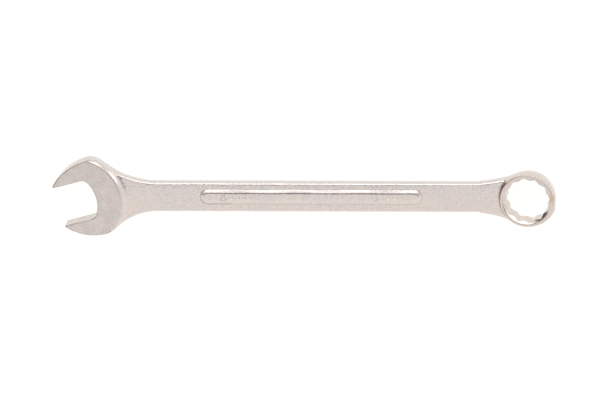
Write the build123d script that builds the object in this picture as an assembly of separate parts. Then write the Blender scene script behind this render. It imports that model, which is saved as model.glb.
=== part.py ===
from build123d import *
import os
from math import acos, cos, degrees, radians, sin, sqrt, tan

# Combination wrench, 1-5/8 inch: one drop forging, plated all over, with nothing that moves or
# comes off. It is written here as the three regions that a toolmaker names, which meet face to
# face at the two ends of the straight shank and hold together as one rigid body.
#
# While modelling, X runs along the shank from the open end to the box end, Y across it, and
# Z = 0 is the middle plane of the shank and the open end. At the end all three regions are
# moved so that the origin is on the surface that the wrench lies on, under the middle of its
# bounding box. Lengths are in millimetres and angles in degrees.

# Hexagon that the wrench turns
jaw_gap = 41.6  # between the jaw flats: 41.275 nominal, plus clearance
box_flats = 41.5  # across the flats of the broached ring
broach_point_radius = 23.5  # the broach cuts its twelve points off at this radius
broach_turn = 10.3  # angle of the first point from the shank's line

# Shank
shank_width = 31.0
shank_thickness = 12.0
shank_edge_radius = 2.3
open_end_joint_x = -150.0  # where the shank ends and the open end begins to flare
box_end_joint_x = 186.0  # where the shank ends and the box end begins to flare

# Raised panel on both faces of the shank
panel_start_x = -102.5
panel_end_x = 125.5
panel_width = 15.6
panel_centre_y = 0.8
panel_height = 1.3
panel_bevel = 4.0  # its sides slope up over this distance

# Open end
jaw_angle = 15.0
jaw_centre = (-230.0, -5.1)
throat_depth = 21.1  # from the jaw centre to the bottom of the throat
throat_radius = 35.5
throat_corner_radius = 3.0
jaw_tip_radius = 1.1
head_thickness = 20.0
head_disc_radius = 46.0  # the ground faces are discs about the jaw centre
head_edge_radius = 0.8
shoulder_run = 4.0  # the disc slopes down to the web behind it over this distance

# Outline of the open end, each side traced from the shank towards its jaw tip. A step is
# (length,) along a straight or (radius, turn) round an arc, and left turns are positive. Each
# side runs a little past its jaw tip, where the slot trims it.
upper_flare_x = -145.6
upper_side = [(93.5, -39.0), (0.5,), (15.0, 53.4), (58.0, 52.0)]
lower_flare_x = -146.0
lower_side = [(62.0, 42.0), (3.1,), (22.7, -27.5), (53.4, -66.0)]

# Box end
ring_angle = 15.0  # tilt of the ring, its far side up
ring_centre_x = 234.5
ring_centre_y = 0.4
ring_radius = 27.9
ring_height = 22.0
ring_face_edge_radius = 0.8
ring_heel_radius = 3.0
countersink_radius = 24.9
countersink_depth = 2.85  # at the flats
neck_sweep_radius = 150.0  # from the shank's side to the ring, seen from above
neck_inset_left = 1.4  # how far the neck's +Y side runs into the ring's wall
neck_inset_right = 0.0  # and its -Y side

regions_overlap = 8.0  # neighbouring regions are built past each other by this, then cut
height_tolerance = 0.001

half_gap = jaw_gap / 2
half_head = head_thickness / 2
half_shank = shank_thickness / 2
half_width = shank_width / 2
half_ring = ring_height / 2
# The ring's lower heel is level with the lower face of the open end, so the wrench lies flat.
ring_centre_z = (
    ring_heel_radius
    - half_head
    + (ring_radius - ring_heel_radius) * sin(radians(ring_angle))
    + (half_ring - ring_heel_radius) * cos(radians(ring_angle))
)
jaw_place = Pos(*jaw_centre) * Rot(0, 0, jaw_angle)
ring_place = Pos(ring_centre_x, ring_centre_y, ring_centre_z) * Rot(0, -ring_angle, 0)


def trace(x, y, heading, steps):
    """Edges that follow one another tangentially from a point, and the point they reach."""
    edges = []
    start = Vector(x, y)
    for step in steps:
        along = Vector(cos(radians(heading)), sin(radians(heading)))
        if len(step) == 1:
            end = start + along * step[0]
            edges.append(Line(start, end))
        else:
            radius, turn = step
            inward = along.rotate(Axis.Z, 90 if turn > 0 else -90) * radius
            middle = start + inward - inward.rotate(Axis.Z, turn / 2)
            end = start + inward - inward.rotate(Axis.Z, turn)
            edges.append(ThreePointArc(start, middle, end))
            heading += turn
        start = end
    return edges, end


def thicken(face, thickness):
    """A face made solid, evenly to both sides of the middle plane."""
    return extrude(face, thickness / 2, both=True)


def round_edges(solid, radius, chosen):
    """Rounds the edges that a test picks out."""
    return fillet(solid.edges().filter_by(chosen), radius)


def at_height(edge, height):
    """Whether an edge lies at this height above or below the middle plane."""
    return abs(abs(edge.center().Z) - height) < height_tolerance


def mirrored(solid):
    """A solid together with its mirror image below the middle plane."""
    return solid + mirror(solid, about=Plane.XY)


def jaw_slot():
    """The opening between the jaws: parallel flats, and a throat of one large arc."""
    corner_x = throat_depth - throat_radius + sqrt(throat_radius**2 - half_gap**2)
    mouth_x = -2 * head_disc_radius
    face = make_face(
        [
            Line((mouth_x, half_gap), (corner_x, half_gap)),
            ThreePointArc((corner_x, half_gap), (throat_depth, 0), (corner_x, -half_gap)),
            Line((corner_x, -half_gap), (mouth_x, -half_gap)),
            Line((mouth_x, -half_gap), (mouth_x, half_gap)),
        ]
    )
    throat_corners = face.vertices().filter_by(lambda vertex: vertex.X > 0)
    return jaw_place * fillet(throat_corners, throat_corner_radius)


def open_end_head():
    """The open end with its neck: a thick disc with ground faces, and a web behind it."""
    upper, upper_end = trace(upper_flare_x, half_width, 180, upper_side)
    lower, lower_end = trace(lower_flare_x, -half_width, 180, lower_side)
    inner_x = open_end_joint_x + regions_overlap
    outline = upper + lower + [
        Line(upper_end, lower_end),
        Line((upper_flare_x, half_width), (inner_x, half_width)),
        Line((inner_x, half_width), (inner_x, -half_width)),
        Line((inner_x, -half_width), (lower_flare_x, -half_width)),
    ]
    profile = make_face(outline) - jaw_slot()
    tips = profile.vertices().filter_by(lambda vertex: vertex.X < jaw_centre[0])
    profile = fillet(tips, jaw_tip_radius)

    shoulder_base = head_disc_radius + shoulder_run
    rise = half_head - half_shank
    shoulder = Pos(0, 0, half_shank + rise / 2) * Cone(shoulder_base, head_disc_radius, rise)
    disc_body = Cylinder(shoulder_base, shank_thickness) + mirrored(shoulder)
    disc = thicken(profile, head_thickness) & (Pos(*jaw_centre) * disc_body)
    disc = round_edges(disc, head_edge_radius, lambda edge: at_height(edge, half_head))

    neck_plan = profile - (Pos(*jaw_centre) * Circle(head_disc_radius - regions_overlap))
    neck = thicken(neck_plan, shank_thickness)
    rims = neck.edges().filter_by(lambda edge: at_height(edge, half_shank))
    neck = fillet(rims.filter_by(Axis.Y, reverse=True), shank_edge_radius)
    return split(disc + neck, Plane.YZ.offset(open_end_joint_x), keep=Keep.BOTTOM)


def shank():
    """The straight bar between the two necks, with a bevelled panel raised on each face."""
    length = box_end_joint_x - open_end_joint_x
    middle_x = (box_end_joint_x + open_end_joint_x) / 2
    bar = Pos(middle_x, 0, 0) * Box(length, shank_width, shank_thickness)
    bar = fillet(bar.edges().filter_by(Axis.X), shank_edge_radius)
    panel_length = panel_end_x - panel_start_x
    foot = SlotOverall(panel_length, panel_width)
    top = SlotOverall(panel_length - 2 * panel_bevel, panel_width - 2 * panel_bevel)
    panel = loft([Pos(0, 0, half_shank) * foot, Pos(0, 0, half_shank + panel_height) * top])
    panel_middle = Pos((panel_start_x + panel_end_x) / 2, panel_centre_y)
    return bar + panel_middle * mirrored(panel)


def ring_neck():
    """The neck that widens from the shank to the ring and bends up into the ring's own plane."""
    inner_x = box_end_joint_x - regions_overlap
    outline = [Line((inner_x, half_width), (inner_x, -half_width))]
    ends = []
    for side, inset in ((1, neck_inset_left), (-1, neck_inset_right)):
        reach = ring_radius - inset + neck_sweep_radius
        sweep_y = half_width + neck_sweep_radius
        sweep_x = ring_centre_x - sqrt(reach**2 - sweep_y**2)
        turn = side * degrees(acos(sweep_y / reach))
        edges, end = trace(sweep_x, side * half_width, 0, [(neck_sweep_radius, turn)])
        outline += edges + [Line((inner_x, side * half_width), (sweep_x, side * half_width))]
        ends.append(end)
    outline.append(Line(*ends))
    plan = thicken(make_face(outline), 2 * ring_height)

    slope = tan(radians(ring_angle))
    bend_x = ring_centre_x - ring_centre_z / slope
    miter = half_shank * tan(radians(ring_angle / 2))
    far_z = half_shank + (ring_centre_x - bend_x + miter) * slope
    side = Polyline(
        (inner_x, -half_shank),
        (bend_x + miter, -half_shank),
        (ring_centre_x, -half_shank + (ring_centre_x - bend_x - miter) * slope),
        (ring_centre_x, far_z),
        (bend_x - miter, half_shank),
        (inner_x, half_shank),
        close=True,
    )
    bent = extrude(Plane.XZ * make_face(side), ring_radius, both=True)
    neck = plan & bent
    rims = neck.edges().filter_by(Axis.Y, reverse=True).filter_by(Axis.Z, reverse=True)
    return fillet(rims, shank_edge_radius)


def socket_cutter():
    """What the broach and the two countersinks take out of the ring."""
    hexagons = [
        RegularPolygon(box_flats / 2, 6, major_radius=False, rotation=turn)
        for turn in (broach_turn, broach_turn + 30)
    ]
    star = (hexagons[0] + hexagons[1]) & Circle(broach_point_radius)
    broach = extrude(star, ring_height, both=True)
    widening = (countersink_radius - box_flats / 2) / countersink_depth
    outside = half_ring - countersink_depth
    mouth = Cone(box_flats / 2, box_flats / 2 + widening * outside, outside)
    return broach + mirrored(Pos(0, 0, half_ring - countersink_depth + outside / 2) * mouth)


def box_end_head():
    """The box end: a broached ring, tilted from the shank, and the neck that carries it."""
    ring = Cylinder(ring_radius, ring_height)
    rims = ring.edges().filter_by(GeomType.CIRCLE).sort_by(Axis.Z)
    ring = fillet(rims[0], ring_heel_radius)
    rims = ring.edges().filter_by(GeomType.CIRCLE).sort_by(Axis.Z)
    ring = fillet(rims[-1], ring_face_edge_radius)
    head = (ring_place * ring + ring_neck()) - ring_place * socket_cutter()
    return split(head, Plane.YZ.offset(box_end_joint_x), keep=Keep.TOP)


regions = {
    "open_end_head": open_end_head(),
    "shank": shank(),
    "box_end_head": box_end_head(),
}
whole = Compound(children=[Part(region.wrapped) for region in regions.values()]).bounding_box()
to_origin = Pos(-whole.center().X, -whole.center().Y, -whole.min.Z)
os.makedirs("parts", exist_ok=True)
for name, region in regions.items():
    export_step(to_origin * region, f"parts/{name}.step")
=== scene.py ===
from math import acos, atan2, cos, degrees, radians, sin, sqrt, tan

import bpy
import numpy as np
from mathutils import Matrix, Vector


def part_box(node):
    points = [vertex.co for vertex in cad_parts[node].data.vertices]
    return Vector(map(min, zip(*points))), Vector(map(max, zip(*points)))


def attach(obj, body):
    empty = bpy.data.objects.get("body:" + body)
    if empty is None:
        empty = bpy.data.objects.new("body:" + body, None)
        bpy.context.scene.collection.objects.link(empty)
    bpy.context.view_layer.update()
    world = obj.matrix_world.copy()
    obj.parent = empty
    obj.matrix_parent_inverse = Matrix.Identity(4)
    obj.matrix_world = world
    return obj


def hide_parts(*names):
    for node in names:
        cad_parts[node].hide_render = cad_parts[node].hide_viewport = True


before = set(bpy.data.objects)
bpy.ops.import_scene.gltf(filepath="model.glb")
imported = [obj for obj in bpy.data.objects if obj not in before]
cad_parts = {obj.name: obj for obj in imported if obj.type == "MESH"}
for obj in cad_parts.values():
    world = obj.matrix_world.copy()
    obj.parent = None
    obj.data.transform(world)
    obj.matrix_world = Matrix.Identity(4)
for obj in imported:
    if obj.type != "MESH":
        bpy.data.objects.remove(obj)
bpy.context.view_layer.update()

# A combination wrench: one forging, drawn as three pieces that meet where the CAD regions do.
# Each piece is the zero level of a field over space, whose value is about the distance to the
# steel's surface in millimetres, negative inside. The field is written in modelling axes: X
# along the shank, Y across it, Z = 0 in the shank's middle plane. `to_frame` moves it into the
# shared frame, in metres.

MM = 0.001  # a millimetre in the frame's metres
HAIR = 1e-6  # closes the seams between an outline's arcs and straights
NEARLY_ZERO = 1e-9
FAR_AWAY = 1e6

# Dimensions in millimetres and degrees, named as in the CAD
jaw_gap = 41.6
box_flats = 41.5
broach_point_radius = 23.5
broach_turn = 10.3
shank_width = 31.0
shank_thickness = 12.0
shank_edge_radius = 2.3
open_end_joint_x = -150.0
box_end_joint_x = 186.0
panel_start_x = -102.5
panel_end_x = 125.5
panel_width = 15.6
panel_centre_y = 0.8
panel_height = 1.3
panel_bevel = 4.0
jaw_angle = 15.0
jaw_centre = (-230.0, -5.1)
throat_depth = 21.1
throat_radius = 35.5
throat_corner_radius = 3.0
jaw_tip_radius = 1.1
head_thickness = 20.0
head_disc_radius = 46.0
upper_flare_x = -145.6
upper_side = [(93.5, -39.0), (0.5,), (15.0, 53.4), (58.0, 52.0)]
lower_flare_x = -146.0
lower_side = [(62.0, 42.0), (3.1,), (22.7, -27.5), (53.4, -66.0)]
ring_angle = 15.0
ring_centre_x = 234.5
ring_centre_y = 0.4
ring_radius = 27.9
ring_height = 22.0
ring_face_edge_radius = 0.8
ring_heel_radius = 3.0
countersink_radius = 24.9
countersink_depth = 2.85
neck_sweep_radius = 150.0
neck_inset_left = 1.4
neck_inset_right = 0.0

# Finish of the forging that the CAD leaves out or makes simpler
head_edge_radius = 0.7
shoulder_fillet = 3.8  # from the ground disc down to the web
shoulder_slope = 50.0
web_start_radius = head_disc_radius - 3  # from here out the ground disc gives way to the web
web_full_radius = head_disc_radius + 6  # and from here it is all web
panel_shoulder = 8.0  # rounding of the panel's upper edge
neck_fillet = 3.5  # where the ring's wall rises from the neck
neck_bend = 1.2  # how softly the neck bends up to the ring
ring_draft = 0.03
broach_edge = 0.25
upper_tip_angle = 42.0  # between the cheek and the flat of each jaw
lower_tip_angle = 50.0
wave_height = 0.04  # unevenness of the forged surfaces, always inward, as left by the dies
wave_fade = 12.0  # it dies out over this distance towards the ring
mark_depth = 0.4
mark_stroke = 1.0
mark_soft_edge = 0.25
mark_centre_y = -0.5
mark_starts = (-82.0, 73.0)  # where the row of marks begins, at each end of the panel
mark_hexagon_size = 6.0
mark_dot_places = (12.0, 18.0, 24.0, 30.0)  # from where the row begins
mark_dot_radius = 1.2

half_gap = jaw_gap / 2
half_head = head_thickness / 2
half_shank = shank_thickness / 2
half_width = shank_width / 2
half_ring = ring_height / 2
ring_slope = tan(radians(ring_angle))
ring_centre_z = (
    ring_heel_radius
    - half_head
    + (ring_radius - ring_heel_radius) * sin(radians(ring_angle))
    + (half_ring - ring_heel_radius) * cos(radians(ring_angle))
)

# The modelling axes are moved, not turned, against the frame's. How far they are moved shows in
# the place of the shank's own box in the frame.
shank_low, shank_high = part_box("shank")
to_frame = Vector(
    (
        shank_low.x - open_end_joint_x * MM,
        (shank_low.y + shank_high.y) / 2,
        (shank_low.z + shank_high.z) / 2,
    )
)


# ---------------------------------------------------------------- joining fields


def cut(a, b, radius):
    """Where both fields are inside, with the edge between them rounded."""
    over = np.hypot(np.maximum(a + radius, 0), np.maximum(b + radius, 0))
    return np.minimum(np.maximum(a, b), -radius) + over


def cut_sharp(a, b, radius, angle):
    """As cut, for two surfaces whose steel fills this angle between them rather than 90."""
    lean = -np.cos(np.radians(angle))
    a, b = a + radius, b + radius
    corner = np.sqrt((a * a + b * b - 2 * lean * a * b) / (1 - lean * lean))
    rounded = (a > lean * b) & (b > lean * a)
    return np.where(rounded, corner, np.maximum(a, b)) - radius


def join(a, b, radius):
    """Where either field is inside, with a fillet between them."""
    return -cut(-a, -b, radius)


def soft_max(a, b, width):
    """The larger of two values, blended where they are within a width of each other."""
    near = np.maximum(width - np.abs(a - b), 0) / width
    return np.maximum(a, b) + near * near * width / 4


def smooth_step(value, low, high):
    """0 below the low limit, 1 above the high one, and an S-curve between them."""
    t = np.clip((value - low) / (high - low), 0, 1)
    return t * t * (3 - 2 * t)


# ---------------------------------------------------------------- outlines


def trace(x, y, heading, steps):
    """Straights and arcs that follow one another tangentially, open-ended at both ends.

    A step is (length,) along a straight or (radius, turn) round an arc, left turns positive.
    """
    angle = radians(heading)
    pieces = [("line", x, y, angle, -np.inf, 0.0)]
    for step in steps:
        if len(step) == 1:
            pieces.append(("line", x, y, angle, 0.0, step[0]))
            x += step[0] * cos(angle)
            y += step[0] * sin(angle)
        else:
            radius, turn = step[0], radians(step[1])
            side = 1 if turn > 0 else -1
            centre_x = x - side * radius * sin(angle)
            centre_y = y + side * radius * cos(angle)
            pieces.append(("arc", centre_x, centre_y, angle, radius, turn))
            angle += turn
            x = centre_x + side * radius * sin(angle)
            y = centre_y - side * radius * cos(angle)
    pieces.append(("line", x, y, angle, 0.0, np.inf))
    return pieces


def left_of(x, y, curve):
    """Signed distance to a traced curve, positive on its left."""
    nearest = np.full(np.broadcast(x, y).shape, FAR_AWAY)
    for kind, px, py, angle, *extent in curve:
        if kind == "line":
            first, last = extent
            along = (x - px) * cos(angle) + (y - py) * sin(angle)
            distance = (y - py) * cos(angle) - (x - px) * sin(angle)
            beside = (along >= first) & (along <= last)
        else:
            radius, turn = extent
            side = 1 if turn > 0 else -1
            dx, dy = side * (x - px), side * (y - py)
            distance = side * (radius - np.hypot(dx, dy))
            swept = (side * (np.arctan2(dx, -dy) - angle) + HAIR) % (2 * np.pi)
            beside = swept <= abs(turn) + 2 * HAIR
        closer = beside & (np.abs(distance) < np.abs(nearest))
        nearest = np.where(closer, distance, nearest)
    return nearest


def jaw_slot(x, y):
    """The opening between the jaws: parallel flats and a throat of one large arc."""
    turn = radians(jaw_angle)
    dx, dy = x - jaw_centre[0], y - jaw_centre[1]
    u = dx * cos(turn) + dy * sin(turn)
    v = dy * cos(turn) - dx * sin(turn)
    throat_centre = throat_depth - throat_radius
    throat = np.hypot(np.maximum(u - throat_centre, 0), v) - throat_radius
    return cut(throat, np.abs(v) - half_gap, throat_corner_radius)


def jaw_distance(x, y):
    """Distance from the jaw centre, seen from above."""
    return np.hypot(x - jaw_centre[0], y - jaw_centre[1])


def neck_outline(inset):
    """One side of the neck: along the shank, round the sweep, then round inside the ring."""
    circle = ring_radius - inset
    reach = circle + neck_sweep_radius
    sweep_y = half_width + neck_sweep_radius
    turn = degrees(acos(sweep_y / reach))
    sweep_x = ring_centre_x - sqrt(reach**2 - sweep_y**2)
    return trace(sweep_x, half_width, 0, [(neck_sweep_radius, turn), (circle, -90 - turn)])


upper_curve = trace(upper_flare_x, half_width, 180, upper_side)
lower_curve = trace(lower_flare_x, -half_width, 180, lower_side)
neck_left = neck_outline(neck_inset_left)
neck_right = neck_outline(neck_inset_right)
panel_slope = atan2(panel_height, panel_bevel)


# ---------------------------------------------------------------- the forging's regions


def open_end(x, y, z):
    """A thick disc with ground faces, its shoulder, and the web that runs into the shank."""
    blank = np.maximum(-left_of(x, y, upper_curve), left_of(x, y, lower_curve))
    tip_angle = np.where(y > jaw_centre[1], upper_tip_angle, lower_tip_angle)
    plan = cut_sharp(blank, -jaw_slot(x, y), jaw_tip_radius, tip_angle)
    rho = jaw_distance(x, y)
    slope = radians(shoulder_slope)
    face = np.abs(z) - half_head
    shoulder = (rho - head_disc_radius) * sin(slope) + face * cos(slope)
    disc = cut(shoulder, face, head_edge_radius)
    body = join(disc, np.abs(z) - half_shank, shoulder_fillet)
    web = smooth_step(rho, web_start_radius, web_full_radius)
    rim = head_edge_radius + web * (shank_edge_radius - head_edge_radius)
    return cut(plan, body, rim) + web * waves(x, y, z)


def waves(x, y, z):
    """The slight unevenness of a forged surface, the same on both sides of a joint plane.

    The divisors are lengths in millimetres, all different so that no pattern repeats.
    """
    long = np.sin(x / 7.3 + np.sin(y / 6.1) + z) + np.sin(x / 11.9 - y / 5.3 + 2 * z)
    short = np.sin(x / 3.1 + y / 4.7 - z) * np.sin(x / 4.9 - y / 2.9 + z)
    return (2 + long / 2 + short / 2) * wave_height


def mark_relief(x, y):
    """Depth of the plain marks in the panel: a hexagon's outline and a row of dots."""
    stroke = np.full(np.broadcast(x, y).shape, np.inf)
    across = y - mark_centre_y
    for start in mark_starts:
        along = x - start - mark_hexagon_size / 2
        hexagon = -np.inf
        for angle in (0.0, radians(60), radians(120)):
            hexagon = np.maximum(hexagon, np.abs(along * sin(angle) + across * cos(angle)))
        outline = np.abs(hexagon - (mark_hexagon_size - mark_stroke) / 2)
        stroke = np.minimum(stroke, outline - mark_stroke / 2)
        for place in mark_dot_places:
            dot = np.hypot(x - start - place, across) - mark_dot_radius
            stroke = np.minimum(stroke, dot)
    return mark_depth * smooth_step(-stroke, -mark_soft_edge, mark_soft_edge)


def panel_plan(x, y):
    """Distance to the round-ended outline that the raised panel fills, seen from above."""
    half_length = (panel_end_x - panel_start_x) / 2
    along = np.abs(x - (panel_start_x + panel_end_x) / 2) - half_length + panel_width / 2
    return np.hypot(np.maximum(along, 0), y - panel_centre_y) - panel_width / 2


def shank(x, y, z):
    """The straight bar with a bevelled panel raised on each face."""
    bar = cut(np.abs(y) - half_width, np.abs(z) - half_shank, shank_edge_radius)
    over = np.abs(z) - half_shank
    plan = panel_plan(x, y)
    bevel = plan * sin(panel_slope) + over * cos(panel_slope)
    top = over - panel_height + mark_relief(x, y)
    panel = cut_sharp(bevel, top, panel_shoulder, 180 - degrees(panel_slope))
    return np.minimum(bar, np.maximum(panel, plan)) + waves(x, y, z)


def ring_axes(x, z):
    """Place in the ring's own tilted axes: along its face, and up its axis from its middle."""
    turn = radians(ring_angle)
    dx, dz = x - ring_centre_x, z - ring_centre_z
    u = dx * cos(turn) + dz * sin(turn)
    return u, dz * cos(turn) - dx * sin(turn)


def socket_space(u, v, w):
    """What the broach and the two countersinks take out of the ring."""
    rho = np.hypot(u, v)
    flats = []
    for corner in (broach_turn, broach_turn + 30):
        hexagon = -np.inf
        for flat in (30, 90, 150):
            angle = radians(corner + flat)
            hexagon = np.maximum(hexagon, np.abs(u * cos(angle) + v * sin(angle)))
        flats.append(hexagon - box_flats / 2)
    star = np.maximum(np.minimum(flats[0], flats[1]), rho - broach_point_radius)
    widening = (countersink_radius - box_flats / 2) / countersink_depth
    mouth = box_flats / 2 + (np.abs(w) - half_ring + countersink_depth) * widening
    cone = (rho - mouth) / sqrt(1 + widening**2)
    return np.minimum(star, cone)


def box_end(x, y, z):
    """The tilted ring, the neck that bends up to carry it, and the socket."""
    u, w = ring_axes(x, z)
    v = y - ring_centre_y
    wall = np.hypot(u, v) - ring_radius + ring_draft * np.abs(w)
    ring = np.maximum(
        cut(wall, w - half_ring, ring_face_edge_radius),
        cut(wall, -w - half_ring, ring_heel_radius),
    )
    upright = half_shank / cos(radians(ring_angle))
    middle = ring_centre_z + (x - ring_centre_x) * ring_slope
    top = soft_max(half_shank, middle + upright, neck_bend)
    bottom = soft_max(-half_shank, middle - upright, neck_bend)
    slab = np.maximum(z - top, bottom - z)
    sides = np.maximum(left_of(x, y, neck_left), left_of(x, -y, neck_right))
    neck = cut(sides, slab, shank_edge_radius)
    forged = smooth_step(ring_centre_x - x, ring_radius, ring_radius + wave_fade)
    neck += forged * waves(x, y, z)
    return cut(join(ring, neck, neck_fillet), -socket_space(u, v, w), broach_edge)


# ---------------------------------------------------------------- from field to mesh


def ticks(*spans):
    """Grid lines along one axis: (low, high, step) spans that follow one another."""
    lines = [np.linspace(low, high, 1 + round((high - low) / step)) for low, high, step in spans]
    return np.unique(np.round(np.concatenate(lines), 6))


def edge_crossings(field, grid, values, axis):
    """Where the surface crosses grid edges along one axis: its cells, points and directions."""
    refinements = 3
    least_share = 0.02  # of an edge, so that each refinement cuts some of it off
    low = [slice(None)] * 3
    high = [slice(None)] * 3
    low[axis], high[axis] = slice(0, -1), slice(1, None)
    inside = values < 0
    cells = np.argwhere(inside[tuple(low)] != inside[tuple(high)])
    start = np.stack([grid[k][cells[:, k]] for k in range(3)], axis=1)
    end = start.copy()
    end[:, axis] = grid[axis][cells[:, axis] + 1]
    at_start = values[tuple(low)][tuple(cells.T)]
    at_end = values[tuple(high)][tuple(cells.T)]
    entering = at_start >= 0
    for _ in range(refinements):
        share = (at_start / (at_start - at_end))[:, None]
        middle = start + (end - start) * np.clip(share, least_share, 1 - least_share)
        at_middle = field(*middle.T)
        same = (at_middle < 0) == (at_start < 0)
        start[same], at_start[same] = middle[same], at_middle[same]
        end[~same], at_end[~same] = middle[~same], at_middle[~same]
    share = (at_start / (at_start - at_end))[:, None]
    return cells, start + (end - start) * share, entering


def surface_normals(field, points):
    """The field's uphill direction at each point, which is straight out of the surface."""
    step = 0.01
    normals = np.empty_like(points)
    for k in range(3):
        ahead, behind = points.copy(), points.copy()
        ahead[:, k] += step
        behind[:, k] -= step
        normals[:, k] = field(*ahead.T) - field(*behind.T)
    lengths = np.linalg.norm(normals, axis=1, keepdims=True)
    return normals / np.maximum(lengths, NEARLY_ZERO)


def polygonise(field, grid):
    """Quads over the field's zero level, by dual contouring.

    There is one point in each cell that the surface crosses, where the tangent planes at the
    cell's crossings meet, so that sharp edges stay sharp.
    """
    hold = 0.02  # how strongly a point keeps to the middle of its cell's crossings
    shape = tuple(len(lines) for lines in grid)
    values = field(grid[0][:, None, None], grid[1][None, :, None], grid[2][None, None, :])
    owners, points, normals, quads = [], [], [], []
    for axis in range(3):
        cells, crossing, entering = edge_crossings(field, grid, values, axis)
        first, second = [(1, 2), (2, 0), (0, 1)][axis]
        corners = np.repeat(cells[:, None, :], 4, axis=1)
        corners[:, 1, first] -= 1
        corners[:, 2, first] -= 1
        corners[:, 2, second] -= 1
        corners[:, 3, second] -= 1
        ids = np.ravel_multi_index(tuple(corners.reshape(-1, 3).T), shape).reshape(-1, 4)
        quads.append(np.where(entering[:, None], ids[:, ::-1], ids))
        owners.append(ids.reshape(-1))
        points.append(np.repeat(crossing, 4, axis=0))
        normals.append(np.repeat(surface_normals(field, crossing), 4, axis=0))
    used, slot = np.unique(np.concatenate(owners), return_inverse=True)
    points, normals = np.concatenate(points), np.concatenate(normals)
    count = np.bincount(slot).astype(float)

    def total(weights):
        return np.bincount(slot, weights=weights)

    centre = np.stack([total(points[:, k]) / count for k in range(3)], axis=1)
    reach = np.einsum("ij,ij->i", normals, points - centre[slot])
    planes = np.empty((len(used), 3, 3))
    pulls = np.empty((len(used), 3))
    for i in range(3):
        pulls[:, i] = total(normals[:, i] * reach)
        for j in range(3):
            planes[:, i, j] = total(normals[:, i] * normals[:, j])
    planes += np.eye(3) * (hold * count)[:, None, None]
    moved = centre + np.linalg.solve(planes, pulls[:, :, None])[:, :, 0]
    place = np.stack(np.unravel_index(used, shape), axis=1)
    for k in range(3):
        moved[:, k] = np.clip(moved[:, k], grid[k][place[:, k]], grid[k][place[:, k] + 1])
    return moved, np.searchsorted(used, np.concatenate(quads))


def settle(field, points):
    """Moves points onto the field's zero level, straight down its slope."""
    longest_move = 0.1
    for _ in range(2):
        normals = surface_normals(field, points)
        moves = np.clip(field(*points.T), -longest_move, longest_move)
        points = points - normals * moves[:, None]
    return points


def edge_bend(field, points):
    """How sharply the surface bends near each point: above 0 on an edge, below 0 in a corner.

    The field a millimetre away, in six directions, is compared with the field at the point. The
    result is about the surface's mean curvature, per millimetre.
    """
    around = -6 * field(*points.T)
    for k in range(3):
        for step in (-1.0, 1.0):
            moved = points.copy()
            moved[:, k] += step
            around += field(*moved.T)
    return around / 2


# ---------------------------------------------------------------- where each finish and the painted shade lie


def open_end_forged(x, y, z):
    """1 where the open end keeps its forged skin, 0 where it is ground or milled."""
    off_disc = smooth_step(jaw_distance(x, y), head_disc_radius, head_disc_radius + 3)
    off_slot = smooth_step(jaw_slot(x, y), 0.2, 1.0)
    return off_disc * off_slot


def open_end_painted_shade(x, y, z):
    """0, as no shade is painted on the open end."""
    return np.zeros_like(x)


def shank_forged(x, y, z):
    """1, as the shank is forged skin all over."""
    return np.ones_like(x)


def shank_painted_shade(x, y, z):
    """Painted shade: 1 along the panel's foot near its first end and less further on, 0 along its
    far side.
    """
    foot_line = 1 - smooth_step(np.abs(panel_plan(x, y)), 0.1, 0.7)
    from_start, from_end = x - panel_start_x, panel_end_x - x
    near_ends = 1 - smooth_step(np.minimum(from_start, from_end), 3.0, 6.0)
    near_side = 1 - smooth_step(y, -2.0, 2.0)
    strength = 1 - 0.6 * smooth_step(from_start, 28.0, 34.0)
    return foot_line * strength * np.maximum(near_ends, near_side)


def box_end_forged(x, y, z):
    """0 on the ground and broached ring, 1 on the forged neck."""
    u, _ = ring_axes(x, z)
    return smooth_step(np.hypot(u, y - ring_centre_y), ring_radius, ring_radius + 4)


def box_end_painted_shade(x, y, z):
    """Painted shade: 1 in the fillet where the ring rises from the neck, most of all on the far
    side.
    """
    u, w = ring_axes(x, z)
    wall = np.hypot(u, y - ring_centre_y) - ring_radius
    fillet = smooth_step(wall, -1.5, -0.5) * (1 - smooth_step(wall, 0.6, 3.0))
    sides = np.maximum(left_of(x, y, neck_left), left_of(x, -y, neck_right))
    within_neck = smooth_step(-sides, 1.5, 4.0) * smooth_step(ring_centre_x - x, 10.0, 16.0)
    below_face = smooth_step(half_ring - w, 0.5, 1.2)
    strength = 0.4 + 0.6 * smooth_step(y, -5.0, 6.0)
    return fillet * within_neck * below_face * strength


# ---------------------------------------------------------------- material


def feed(tree, socket, value):
    """Gives a socket its input: another node's output, or a plain value."""
    if isinstance(value, bpy.types.NodeSocket):
        tree.links.new(value, socket)
    else:
        socket.default_value = value


def add_node(tree, kind, settings, inputs):
    """A new node with its settings, and its inputs by name or by number."""
    made = tree.nodes.new(kind)
    for key, value in settings.items():
        setattr(made, key, value)
    for key, value in inputs.items():
        feed(tree, made.inputs[key], value)
    return made


def mix_colour(tree, share, first, second):
    """The first colour where the share is 0, the second where it is 1."""
    mixed = add_node(
        tree, "ShaderNodeMix", {"data_type": "RGBA"}, {0: share, 6: first, 7: second}
    )
    return mixed.outputs[2]


def combine(tree, operation, first, second):
    """Two values put together by a Math node."""
    inputs = {0: first, 1: second}
    return add_node(tree, "ShaderNodeMath", {"operation": operation}, inputs).outputs[0]


def product(tree, *values):
    """All the values multiplied together."""
    result = values[0]
    for value in values[1:]:
        result = combine(tree, "MULTIPLY", result, value)
    return result


def ramp(tree, value, low, high, to_low=0.0, to_high=1.0):
    """A value that eases from to_low to to_high while the input goes from low to high."""
    limits = {"From Min": low, "From Max": high, "To Min": to_low, "To Max": to_high}
    made = add_node(
        tree,
        "ShaderNodeMapRange",
        {"interpolation_type": "SMOOTHSTEP"},
        {"Value": value, **limits},
    )
    return made.outputs["Result"]


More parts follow.
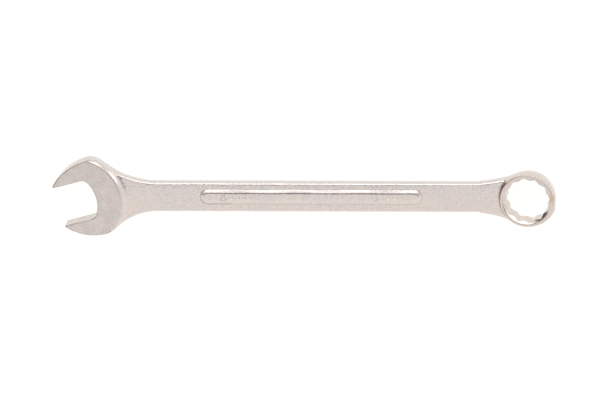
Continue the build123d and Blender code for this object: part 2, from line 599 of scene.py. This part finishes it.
def noise(tree, place, size, detail, roughness):
    """Noise whose blobs are about this many millimetres across."""
    inputs = {"Vector": place, "Scale": 1 / (size * MM), "Detail": detail, "Roughness": roughness}
    return add_node(tree, "ShaderNodeTexNoise", {}, inputs).outputs["Fac"]


def attribute(tree, name):
    """A value that build_piece stored with the mesh."""
    return add_node(tree, "ShaderNodeAttribute", {"attribute_name": name}, {}).outputs["Fac"]


def separate(tree, vector):
    """The three components of a vector."""
    return add_node(tree, "ShaderNodeSeparateXYZ", {}, {"Vector": vector}).outputs


# Colours of the steel's plating, of marks on it, and of the shade painted on it
# the open end's ground colours are darker than the ring's as painted shade
shaded_ground_warm = (0.595, 0.545, 0.52, 1)
shaded_ground_pale = (0.665, 0.595, 0.55, 1)
shaded_ground_grey = (0.57, 0.525, 0.505, 1)
ring_bright = (0.69, 0.62, 0.575, 1)
skin_cool = (0.685, 0.635, 0.615, 1)
skin_warm = (0.725, 0.65, 0.605, 1)
grain_dark = (0.2, 0.17, 0.17, 1)
# dark pits, partly painted reflection specks
pit_and_reflection_dark = (0.40, 0.36, 0.38, 1)
# painted shade for corners and creases, brown
shade_brown = (0.24, 0.145, 0.08, 1)
edge_line_dark = (0.22, 0.18, 0.16, 1)
orange_patch = (0.55, 0.38, 0.26, 1)
orange_patch_place = (0.2508, 0.0045, 0.0335)  # on the ring's raised side, in the frame


def ground_colour(tree, x, y, patches):
    """Ground faces: patchy, greyer towards the far rim of the open end, brighter on the ring; the
    open end's darker tone is painted shade.
    """
    colour = mix_colour(tree, ramp(tree, patches, 0.38, 0.62), shaded_ground_warm, shaded_ground_pale)
    greyer = product(tree, ramp(tree, y, 0.0, 0.035), 0.35)
    colour = mix_colour(tree, greyer, colour, shaded_ground_grey)
    return mix_colour(tree, ramp(tree, x, 0.0, 0.01), colour, ring_bright)


def skin_colour(tree, y, patches):
    """Forged skin: cooler on the shank's far half and warmer on its near half, in patches."""
    far_half = ramp(tree, y, -0.002, 0.006)
    patchy = ramp(tree, patches, 0.3, 0.7)
    warmth = combine(tree, "SUBTRACT", patchy, product(tree, far_half, 0.45))
    return mix_colour(tree, ramp(tree, warmth, -0.3, 0.9), skin_cool, skin_warm)


def coarseness(tree, x, y, forged):
    """How coarse the forged skin is, which also places the painted reflection specks: most along
    the shank's far side, beside the panel.
    """
    return product(
        tree,
        ramp(tree, y, 0.0088, 0.0112, 0.3, 1.0),
        ramp(tree, x, 0.11, 0.14, 1.0, 0.4),
        ramp(tree, x, -0.17, -0.145, 0.6, 1.0),
        forged,
    )


def steel_material():
    """Satin plating over ground faces and forged skin, a little pitted and dark-edged, with
    painted shade in its corners.
    """
    material = bpy.data.materials.new("plated_steel")
    material.use_nodes = True
    tree = material.node_tree
    shader = tree.nodes["Principled BSDF"]
    place = add_node(tree, "ShaderNodeTexCoord", {}, {}).outputs["Object"]
    x, y, _ = separate(tree, place)
    forged = attribute(tree, "forged")
    grit = noise(tree, place, 2.2, 3.0, 0.6)
    grain = noise(tree, place, 1.4, 2.0, 0.7)
    patches = noise(tree, place, 11.0, 3.0, 0.55)
    pits = ramp(tree, grit, 0.62, 0.68)
    coarse = coarseness(tree, x, y, forged)

    ground = ground_colour(tree, x, y, patches)
    skin = skin_colour(tree, y, patches)
    colour = mix_colour(tree, forged, ground, skin)
    darker_grain = ramp(tree, grain, 0.35, 0.65, 0.16, 0.0)
    colour = mix_colour(tree, darker_grain, colour, grain_dark)
    # Pits are darkened, most where the skin is coarse: partly their own colour, partly painted
    # reflection, dark specks below the far edge's highlight.
    pit_and_reflection_share = product(tree, pits, ramp(tree, coarse, 0, 1, 0.05, 0.45))
    colour = mix_colour(tree, pit_and_reflection_share, colour, pit_and_reflection_dark)
    # Painted shade lies brown along corners, thicker in some places than in others.
    shade_share = product(tree, attribute(tree, "painted_shade"), ramp(tree, patches, 0.35, 0.6, 0.45, 0.85))
    colour = mix_colour(tree, shade_share, colour, shade_brown)
    # Convex edges round the ground faces get a broken dark line, fainter on the ring.
    dark_edge_line = product(
        tree,
        ramp(tree, attribute(tree, "edge_bend"), 0.25, 0.5),
        ramp(tree, grit, 0.42, 0.56, 0.25, 0.8),
        ramp(tree, x, 0.0, 0.01, 1.0, 0.5),
    )
    colour = mix_colour(tree, dark_edge_line, colour, edge_line_dark)
    # An orange-brown patch on the ring's raised side.
    from_orange_patch = add_node(
        tree, "ShaderNodeVectorMath", {"operation": "DISTANCE"}, {0: place, 1: orange_patch_place}
    )
    orange_patch_share = product(tree, ramp(tree, from_orange_patch.outputs["Value"], 0.0062, 0.002), 0.65)
    colour = mix_colour(tree, orange_patch_share, colour, orange_patch)

    # The skin is rough like fine sandpaper, the ground faces hardly at all.
    relief = combine(tree, "SUBTRACT", grit, 0.5)
    relief = product(tree, relief, ramp(tree, coarse, 0, 1, 0.06, 0.8))
    height = combine(tree, "SUBTRACT", relief, product(tree, pits, coarse, 0.3))
    bump = add_node(
        tree, "ShaderNodeBump", {}, {"Strength": 1.0, "Distance": 0.0004, "Height": height}
    )
    feed(tree, shader.inputs["Base Color"], colour)
    feed(tree, shader.inputs["Metallic"], 1.0)
    feed(tree, shader.inputs["Roughness"], ramp(tree, grit, 0.3, 0.7, 0.17, 0.25))
    feed(tree, shader.inputs["Normal"], bump.outputs["Normal"])
    return material


# ---------------------------------------------------------------- the three pieces

steel = steel_material()
sharp_angle = 30.0  # edges that bend more than this are shaded as sharp

# The boxes that the grids fill, a little larger than the pieces, and the distances between grid
# lines. Along the shank the lines are close together only over the panel's round ends and the
# marks.
grid_margin = 1.0
head_step = 0.55
open_end_low_x = -255.0
open_end_low_y = -42.0
open_end_high_y = 41.5
box_end_high_x = 265.0
box_end_high_z = 26.0
shank_plain_step = 1.5
shank_marked_step = 0.5
shank_step_y = 0.42
shank_step_z = 0.4
first_marks_end_x = -45.0
second_marks_start_x = 69.0
panel_end_margin = 3
panel_face_margin = 2


def build_piece(name, node, field, forged, painted_shade, low_x, high_x, grid):
    """One piece of the forging, cut off at the joint planes where it meets its neighbours."""

    def capped(x, y, z):
        return np.maximum(field(x, y, z), np.maximum(low_x - x, x - high_x))

    points, quads = polygonise(capped, grid)
    points = settle(capped, points)
    mesh = bpy.data.meshes.new(name)
    mesh.from_pydata((points * MM + np.array(to_frame)).tolist(), [], quads.tolist())
    mesh.update()
    mesh.shade_smooth()
    mesh.set_sharp_from_angle(angle=radians(sharp_angle))
    values = {
        "forged": forged(*points.T),
        # painted shade along corners and creases
        "painted_shade": painted_shade(*points.T),
        "edge_bend": edge_bend(field, points),
    }
    for label, value in values.items():
        stored = mesh.attributes.new(label, "FLOAT", "POINT")
        stored.data.foreach_set("value", np.asarray(value, dtype=np.float32))
    mesh.materials.append(steel)
    piece = bpy.data.objects.new(name, mesh)
    bpy.context.scene.collection.objects.link(piece)
    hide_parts(node)
    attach(piece, "root")


build_piece(
    "forged_open_end",
    "open_end_head",
    open_end,
    open_end_forged,
    open_end_painted_shade,
    -np.inf,
    open_end_joint_x,
    (
        ticks((open_end_low_x, open_end_joint_x + grid_margin, head_step)),
        ticks((open_end_low_y, open_end_high_y, head_step)),
        ticks((-half_head - grid_margin, half_head + grid_margin, head_step)),
    ),
)
build_piece(
    "forged_shank",
    "shank",
    shank,
    shank_forged,
    shank_painted_shade,
    open_end_joint_x,
    box_end_joint_x,
    (
        ticks(
            (open_end_joint_x - grid_margin, panel_start_x - panel_end_margin, shank_plain_step),
            (panel_start_x - panel_end_margin, first_marks_end_x, shank_marked_step),
            (first_marks_end_x, second_marks_start_x, shank_plain_step),
            (second_marks_start_x, panel_end_x + panel_end_margin, shank_marked_step),
            (panel_end_x + panel_end_margin, box_end_joint_x + grid_margin, shank_plain_step),
        ),
        ticks((-half_width - grid_margin, half_width + grid_margin, shank_step_y)),
        ticks((-half_shank - panel_face_margin, half_shank + panel_face_margin, shank_step_z)),
    ),
)
build_piece(
    "forged_box_end",
    "box_end_head",
    box_end,
    box_end_forged,
    box_end_painted_shade,
    box_end_joint_x,
    np.inf,
    (
        ticks((box_end_joint_x - grid_margin, box_end_high_x, head_step)),
        ticks((-ring_radius - grid_margin, ring_radius + ring_centre_y + grid_margin, head_step)),
        ticks((-half_head - grid_margin, box_end_high_z, head_step)),
    ),
)


# ---------------------------------------------------------------- floor, light and camera

# Sky colours: the white tent, and what breaks it
tent_white = (1.09, 1.075, 1.065, 1)
lamp_white = (2.2, 2.2, 2.2, 1)
slit_dark = (0.14, 0.13, 0.13, 1)
doorway_brown = (0.10, 0.055, 0.035, 1)


def add_floor():
    """A white sheet under the wrench, lit from beneath like a light table."""
    mesh = bpy.data.meshes.new("floor")
    reach = 3.0
    corners = [(-reach, -reach, 0), (reach, -reach, 0), (reach, reach, 0), (-reach, reach, 0)]
    mesh.from_pydata(corners, [], [(0, 1, 2, 3)])
    floor = bpy.data.objects.new("floor", mesh)
    bpy.context.scene.collection.objects.link(floor)
    material = bpy.data.materials.new("floor_paper")
    material.use_nodes = True
    tree = material.node_tree
    inputs = tree.nodes["Principled BSDF"].inputs
    feed(tree, inputs["Base Color"], (0.15, 0.15, 0.15, 1))
    feed(tree, inputs["Roughness"], 0.9)
    feed(tree, inputs["Emission Color"], (1, 0.98, 0.95, 1))
    feed(tree, inputs["Emission Strength"], 0.92)
    mesh.materials.append(material)


def band(tree, angle, low, high, soft):
    """1 where an angle lies between two limits in degrees, with borders this soft."""
    low, high, soft = radians(low), radians(high), radians(soft)
    above = ramp(tree, angle, low - soft, low + soft)
    below = ramp(tree, angle, high - soft, high + soft, 1.0, 0.0)
    return product(tree, above, below)


def add_world():
    """A white tent with two lamps on the far side, a dark slit overhead and a doorway."""
    world = bpy.data.worlds.new("studio")
    world.use_nodes = True
    tree = world.node_tree
    direction = add_node(tree, "ShaderNodeTexCoord", {}, {}).outputs["Generated"]
    x, y, z = separate(tree, direction)
    lean = combine(tree, "ARCTAN2", y, z)  # from straight up towards +Y
    aside = combine(tree, "ARCSINE", x, 0.0)  # towards +X
    height = combine(tree, "ARCSINE", z, 0.0)  # above the floor
    breaks = (
        (lamp_white, band(tree, lean, 20, 66, 4), band(tree, aside, -32, 32, 8)),
        (lamp_white, band(tree, lean, 25, 62, 4), band(tree, aside, 47, 66, 4)),
        (slit_dark, band(tree, lean, -6.5, 9.5, 3), band(tree, aside, -46, 32, 8)),
        (
            doorway_brown,
            band(tree, aside, -90, -43, 4),
            band(tree, height, -5, 25, 6),
            ramp(tree, y, 0.0, 0.12),
        ),
    )
    colour = tent_white
    for broken, *shares in breaks:
        colour = mix_colour(tree, product(tree, *shares), colour, broken)
    feed(tree, tree.nodes["Background"].inputs["Color"], colour)
    bpy.context.scene.world = world


def add_camera():
    """A long lens, high above the wrench and leaning a little to its far side."""
    distance = 1.9
    tilt = radians(16.5)
    roll = radians(0.18)
    aim = to_frame + Vector((0, -0.0043, 0))
    camera = bpy.data.cameras.new("camera")
    camera.sensor_width = 36.0
    camera.lens = 110.352
    camera.clip_end = 20
    backward = Vector((0, sin(tilt), cos(tilt)))
    level_up = Vector((0, cos(tilt), -sin(tilt)))
    level_right = level_up.cross(backward)
    up = level_up * cos(roll) - level_right * sin(roll)
    right = up.cross(backward)
    obj = bpy.data.objects.new("camera", camera)
    obj.location = aim + backward * distance
    obj.rotation_euler = Matrix((right, up, backward)).transposed().to_euler()
    bpy.context.scene.collection.objects.link(obj)
    bpy.context.scene.camera = obj


add_floor()
add_world()
add_camera()
bpy.context.scene.view_settings.view_transform = "Standard"
